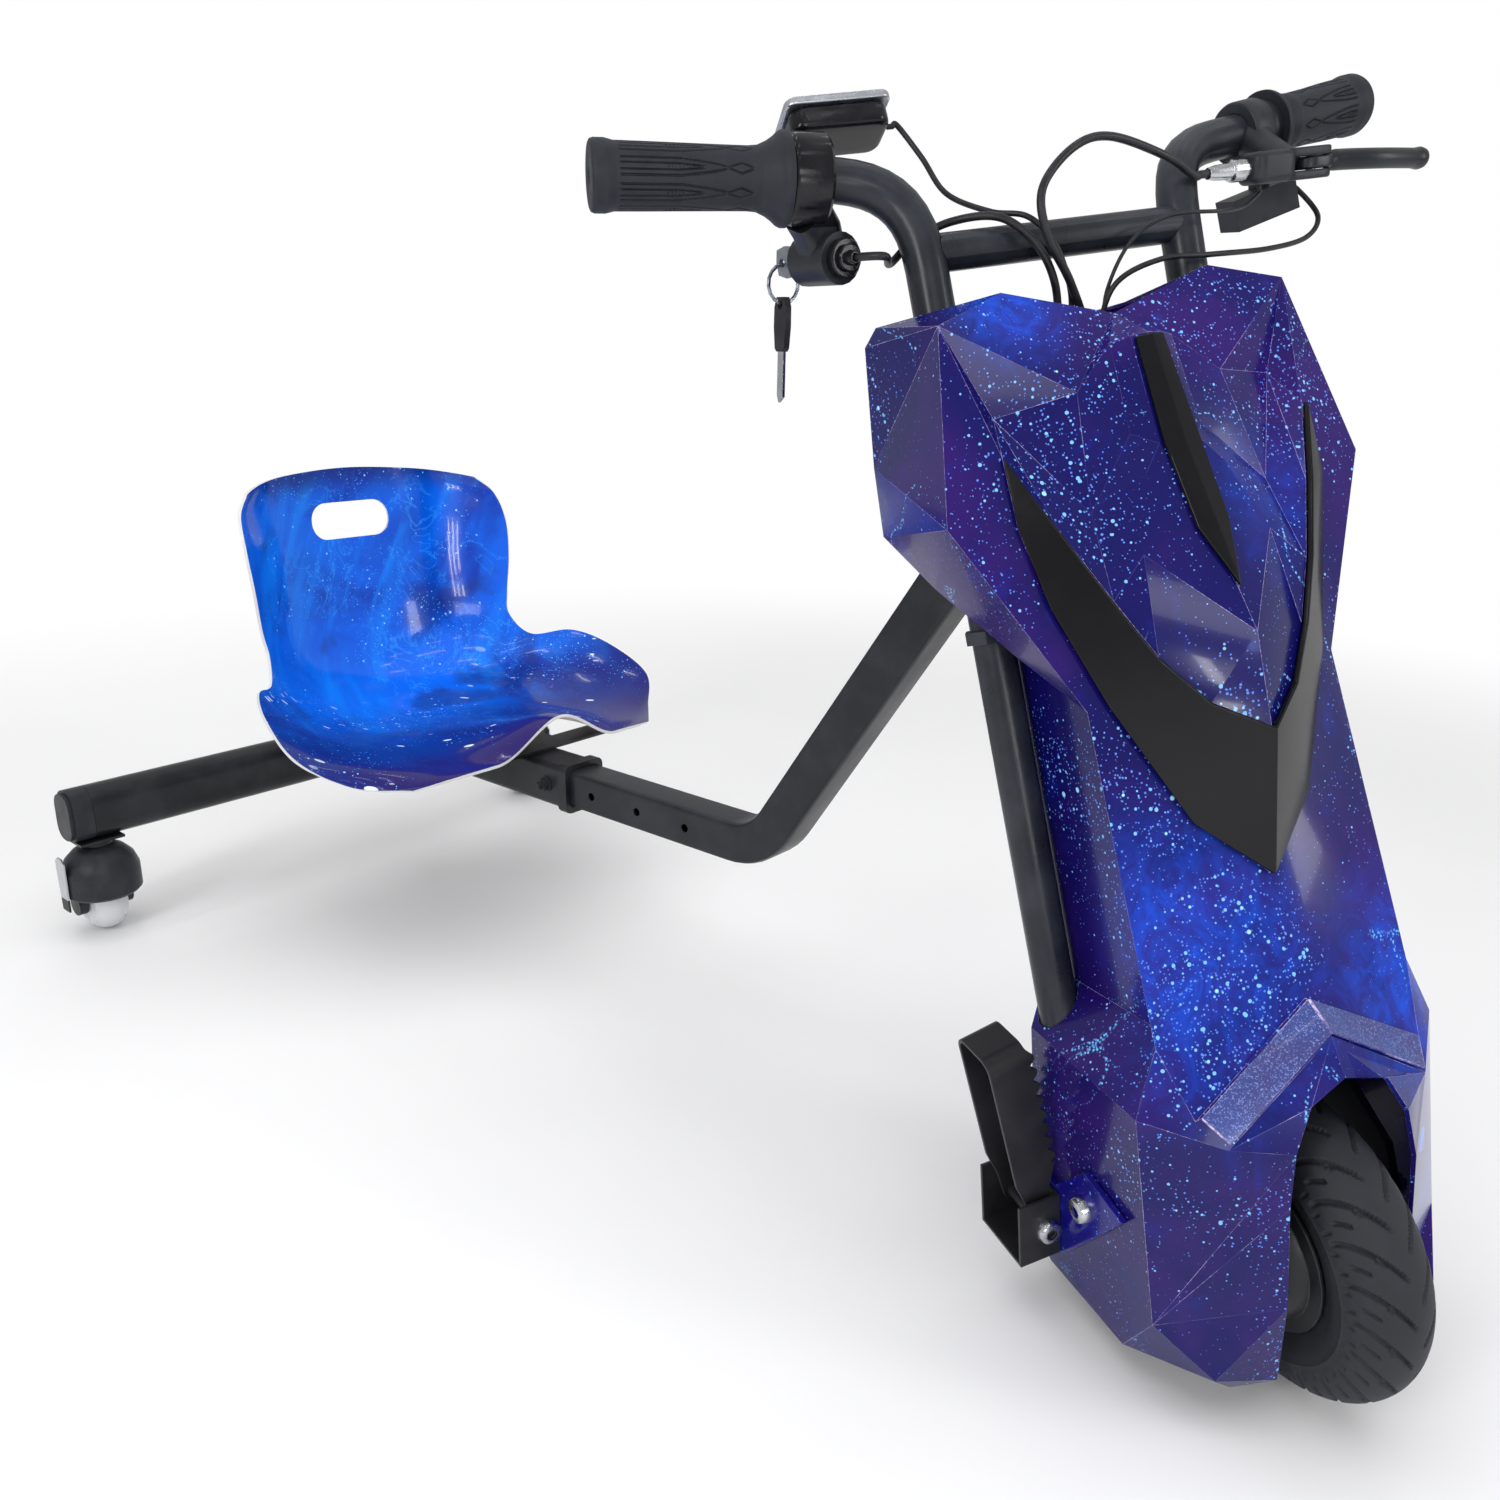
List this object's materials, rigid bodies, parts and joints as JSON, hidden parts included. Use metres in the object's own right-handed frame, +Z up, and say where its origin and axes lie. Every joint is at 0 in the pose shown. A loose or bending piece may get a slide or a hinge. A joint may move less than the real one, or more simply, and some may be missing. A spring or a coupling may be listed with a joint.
{
  "type": "electric tricycle",
  "caption": "Child's electric drift tricycle: hub motor wheel under a faceted fairing, bent square frame, sliding bucket seat and swivel casters.",
  "frame": {"origin": "bottom centre of the bounding box, on the floor", "axes": "+Y towards the rear casters, +X towards the rider's left, +Z up"},
  "size_m": [0.6696, 1.3066, 0.7985],
  "materials": {
    "black_frame": "satin",
    "blue_plate": "gloss",
    "steel": "satin",
    "galaxy_shell": "gloss",
    "gloss_trim": "gloss",
    "sparkle_trim": "gloss",
    "black_plastic": "satin",
    "button_plastic": "gloss",
    "bare_aluminium": "satin",
    "motor_metal": "satin",
    "wheel_plastic": "satin",
    "grip_rubber": "matte",
    "cable_jacket": "satin",
    "tyre_rubber": "matte"
  },
  "bodies": {
    "frame": {"frame_tube": "black_frame", "head_tube": "black_frame", "bearing_low": "steel", "bearing_top": "steel"},
    "steering": {"steerer": "black_frame", "handle_tube_left": "black_frame", "handle_tube_right": "black_frame", "crossbar": "black_frame", "bridge_top": "black_frame", "bridge_low": "black_frame", "dropout_left": "black_frame", "dropout_right": "black_frame", "hub_axle": "steel", "fairing_front": "galaxy_shell", "fairing_rear": "galaxy_shell", "v_trim": "gloss_trim", "centre_trim": "gloss_trim", "chevron": "sparkle_trim", "battery_pack": "black_plastic", "controller": "bare_aluminium", "throttle_housing": "black_plastic", "display": "bare_aluminium", "fixed_grip": "grip_rubber", "lever_clamp": "black_plastic", "barrel_adjuster": "bare_aluminium", "switch_box": "black_plastic", "brake_cable": "cable_jacket", "switch_cable": "cable_jacket", "throttle_cable": "cable_jacket", "display_cable": "cable_jacket", "brake_wire": "steel", "peg_mount_left": "blue_plate", "peg_mount_right": "blue_plate", "peg_bracket_left": "black_frame", "peg_bracket_right": "black_frame"},
    "front_wheel": {"hub_motor": "motor_metal", "tyre": "tyre_rubber", "tyre_valve": "steel"},
    "throttle": {"throttle_sleeve": "grip_rubber"},
    "lever": {"brake_lever": "black_plastic"},
    "button": {"switch_button": "button_plastic"},
    "key": {"ignition_key": "black_plastic"},
    "ring": {"key_ring": "steel"},
    "spare": {"spare_key": "black_plastic"},
    "foot_peg_left": {"peg_left": "black_plastic"},
    "foot_peg_right": {"peg_right": "black_plastic"},
    "carriage": {"sleeve": "black_frame", "cross_beam": "black_frame", "end_cap_left": "black_plastic", "end_cap_right": "black_plastic", "seat_shell": "galaxy_shell", "seat_plate": "black_frame", "caster_plate_left": "black_frame", "caster_plate_right": "black_frame"},
    "swivel_left": {"caster_hood_left": "black_plastic", "brake_tab_left": "steel"},
    "swivel_right": {"caster_hood_right": "black_plastic", "brake_tab_right": "steel"},
    "roll_left": {"caster_wheel_left": "wheel_plastic"},
    "roll_right": {"caster_wheel_right": "wheel_plastic"}
  },
  "joints": [
    {"name": "steer", "type": "hinge", "parent": "frame", "child": "steering", "pos_m": [0, -0.3155, 0.4], "axis": [0, 0.279, 0.9603], "range_deg": [-15, 75]},
    {"name": "front_wheel_spin", "type": "hinge", "parent": "steering", "child": "front_wheel", "pos_m": [-0.08861, -0.5627, 0.09929], "axis": [0.866, -0.4801, 0.1395], "continuous": true},
    {"name": "throttle_twist", "type": "hinge", "parent": "steering", "child": "throttle", "pos_m": [-0.16744, -0.23659, 0.70752], "axis": [-0.802, 0.5968, -0.0248], "range_deg": [0, 70], "stiffness_Nm_per_rad": 0.1, "springref_deg": -22.92},
    {"name": "brake_squeeze", "type": "hinge", "parent": "steering", "child": "lever", "pos_m": [0.10099, -0.42723, 0.73257], "axis": [-0.1395, 0.0359, 0.9896], "range_deg": [0, 25], "stiffness_Nm_per_rad": 0.8, "springref_deg": -14.32},
    {"name": "switch_press", "type": "slide", "parent": "steering", "child": "button", "axis": [-0.596, -0.8011, -0.055], "range_m": [0, 0.0015], "stiffness_N_per_m": 200, "springref_m": -0.002},
    {"name": "key_turn", "type": "hinge", "parent": "steering", "child": "key", "pos_m": [-0.15949, -0.24811, 0.6651], "axis": [0.268, 0.9634, 0.0028], "range_deg": [-90, 0]},
    {"name": "ring_swing", "type": "hinge", "parent": "key", "child": "ring", "pos_m": [-0.144, -0.19242, 0.66406], "axis": [0.9634, -0.268, 0], "range_deg": [-15, 60]},
    {"name": "spare_swing", "type": "hinge", "parent": "ring", "child": "spare", "pos_m": [-0.14398, -0.19236, 0.64106], "axis": [0.9634, -0.268, 0], "range_deg": [-20, 50]},
    {"name": "peg_left_fold", "type": "hinge", "parent": "steering", "child": "foot_peg_left", "pos_m": [0.06693, -0.53424, 0.10976], "axis": [0.4801, 0.8765, 0.0359], "range_deg": [0, 80]},
    {"name": "peg_right_fold", "type": "hinge", "parent": "steering", "child": "foot_peg_right", "pos_m": [-0.14525, -0.41661, 0.07558], "axis": [-0.4801, -0.8765, -0.0359], "range_deg": [0, 80]},
    {"name": "seat_slide", "type": "slide", "parent": "frame", "child": "carriage", "axis": [0, 1, 0], "range_m": [-0.186, 0.124]},
    {"name": "caster_swivel_left", "type": "hinge", "parent": "carriage", "child": "swivel_left", "pos_m": [0.294, 0.6115, 0.099], "axis": [0, 0, 1], "continuous": true},
    {"name": "caster_roll_left", "type": "hinge", "parent": "swivel_left", "child": "roll_left", "pos_m": [0.294, 0.6195, 0.034], "axis": [1, 0, 0], "continuous": true},
    {"name": "caster_swivel_right", "type": "hinge", "parent": "carriage", "child": "swivel_right", "pos_m": [-0.294, 0.6115, 0.099], "axis": [0, 0, 1], "continuous": true},
    {"name": "caster_roll_right", "type": "hinge", "parent": "swivel_right", "child": "roll_right", "pos_m": [-0.294, 0.6195, 0.034], "axis": [1, 0, 0], "continuous": true}
  ]
}
